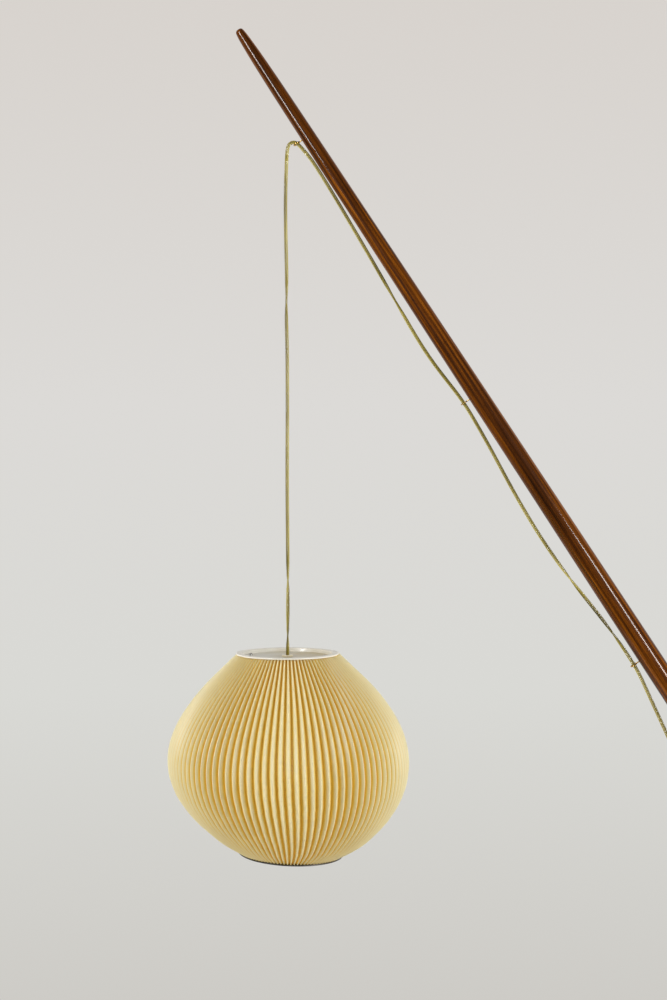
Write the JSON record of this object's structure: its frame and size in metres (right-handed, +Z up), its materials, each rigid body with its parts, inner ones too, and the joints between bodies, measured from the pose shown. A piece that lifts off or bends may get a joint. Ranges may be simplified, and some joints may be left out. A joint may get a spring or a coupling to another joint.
{
  "type": "tension pole lamp",
  "caption": "Floor-to-ceiling tension pole with a tilting tapered wooden arm, from whose screw eyes a flat cord hangs a pleated foil pendant shade.",
  "frame": {"origin": "centre of the floor pad's underside, on the floor under the pole", "axes": "+Z up along the pole; the arm leans towards -X, in the plane Y = 0; -Y faces the viewer of the picture"},
  "size_m": [0.8938, 0.3392, 2.44],
  "materials": {
    "teak": "dark red-brown hardwood, satin lacquer",
    "brass": "polished, slightly aged brass",
    "steel": "bright zinc or nickel plated steel",
    "rubber": "matte dark rubber",
    "nylon": "natural nylon",
    "white_plastic": "cream white moulded plastic, soft gloss",
    "grey_hoop": "grey lacquered hoop",
    "foil": "translucent pale yellow pleated plastic foil",
    "porcelain": "white porcelain",
    "glass": "opal glass",
    "cord_pvc": "translucent gold flat twin cord",
    "ivory_plastic": "ivory moulded plastic",
    "brown_plastic": "dark brown moulded plastic",
    "tie_paper": "flat plastic-coated wire tie"
  },
  "bodies": {
    "pole": {"floor_pad": "rubber", "foot_ferrule": "brass", "lower_pole": "teak", "middle_pole": "teak", "upper_pole": "teak", "joint_ferrules": "brass", "joint_studs": "steel", "plunger_tube": "brass", "plunger_spring": "steel", "plunger_nut": "brass", "pole_eye_upper": "brass", "pole_eye_lower": "brass", "cord_pole": "cord_pvc", "cord_floor": "cord_pvc", "switch_base": "ivory_plastic", "switch_cover": "ivory_plastic", "switch_screws": "steel", "switch_terminals": "steel", "cord_lead": "cord_pvc", "cord_coil": "cord_pvc", "coil_tie": "tie_paper", "cord_tail": "cord_pvc", "plug_body": "ivory_plastic", "plug_pins": "steel"},
    "plunger": {"plunger_rod": "steel", "ceiling_cup": "brass", "ceiling_pad": "rubber"},
    "height_collar": {"height_collar": "brass", "swivel_washer": "nylon", "cord_turn": "cord_pvc"},
    "collar_screw": {"collar_screw": "brass"},
    "bracket": {"swivel_bracket": "brass", "pivot_bolt": "brass", "tilt_washers": "nylon", "bracket_eye": "brass", "cord_loop": "cord_pvc"},
    "tilt_knob": {"tilt_knob": "brass"},
    "arm": {"arm_tongue": "brass", "arm_ferrule": "brass", "arm": "teak", "screw_eyes": "brass", "cord_arm": "cord_pvc"},
    "cord_level": {"cord_bend": "cord_pvc"},
    "pendant": {"top_dish": "white_plastic", "dish_screws": "steel", "top_ring": "white_plastic", "bottom_ring": "grey_hoop", "pleated_foil": "foil", "cord_grip": "nylon", "holder_cap": "white_plastic", "holder_body": "porcelain", "holder_shell": "white_plastic", "holder_contacts": "brass", "cord_drop": "cord_pvc"},
    "bulb": {"bulb_glass": "glass", "bulb_cap": "steel", "bulb_contact": "steel"},
    "switch_rocker": {"switch_rocker": "brown_plastic"}
  },
  "joints": [
    {"name": "plunger_slide", "type": "slide", "parent": "pole", "child": "plunger", "axis": [0, 0, 1], "range_m": [-0.05, 0], "stiffness_N_per_m": 1500, "springref_m": 0.04, "deforming": ["plunger_spring"]},
    {"name": "collar_slide", "type": "slide", "parent": "pole", "child": "height_collar", "axis": [0, 0, 1], "range_m": [-0.3, 0.08], "deforming": ["cord_pole"]},
    {"name": "collar_screw_turn", "type": "hinge", "parent": "height_collar", "child": "collar_screw", "pos_m": [0, 0, 1.004], "axis": [1, 0, 0], "range_deg": [-180, 0]},
    {"name": "arm_swivel", "type": "hinge", "parent": "height_collar", "child": "bracket", "pos_m": [0, 0, 1.06], "axis": [0, 0, 1], "range_deg": [-90, 90], "deforming": ["cord_turn"]},
    {"name": "arm_tilt", "type": "hinge", "parent": "bracket", "child": "arm", "pos_m": [-0.048, 0, 1.082], "axis": [0, 1, 0], "range_deg": [-36.75, 15], "deforming": ["cord_loop", "cord_bend"]},
    {"name": "tilt_knob_turn", "type": "hinge", "parent": "bracket", "child": "tilt_knob", "pos_m": [-0.048, 0, 1.082], "axis": [0, 1, 0], "range_deg": [-180, 0]},
    {"name": "pendant_level", "type": "hinge", "parent": "arm", "child": "cord_level", "pos_m": [-0.6785, 0, 1.9985], "axis": [0, 1, 0], "range_deg": [-15, 36.75], "deforming": ["cord_bend"]},
    {"name": "pendant_swing", "type": "hinge", "parent": "cord_level", "child": "pendant", "pos_m": [-0.68733, 0, 1.9845], "axis": [1, 0, 0], "range_deg": [-20, 20], "deforming": ["cord_bend"]},
    {"name": "bulb_out", "type": "slide", "parent": "pendant", "child": "bulb", "axis": [0, 0, -1], "range_m": [0, 0.03]},
    {"name": "rocker_tilt", "type": "hinge", "parent": "pole", "child": "switch_rocker", "pos_m": [-0.19, -0.006, 0.0136], "axis": [0, 1, 0], "range_deg": [-14, 0]}
  ],
  "couplings": [
    {"joint": "pendant_level", "follows": "arm_tilt", "ratio": -1}
  ]
}
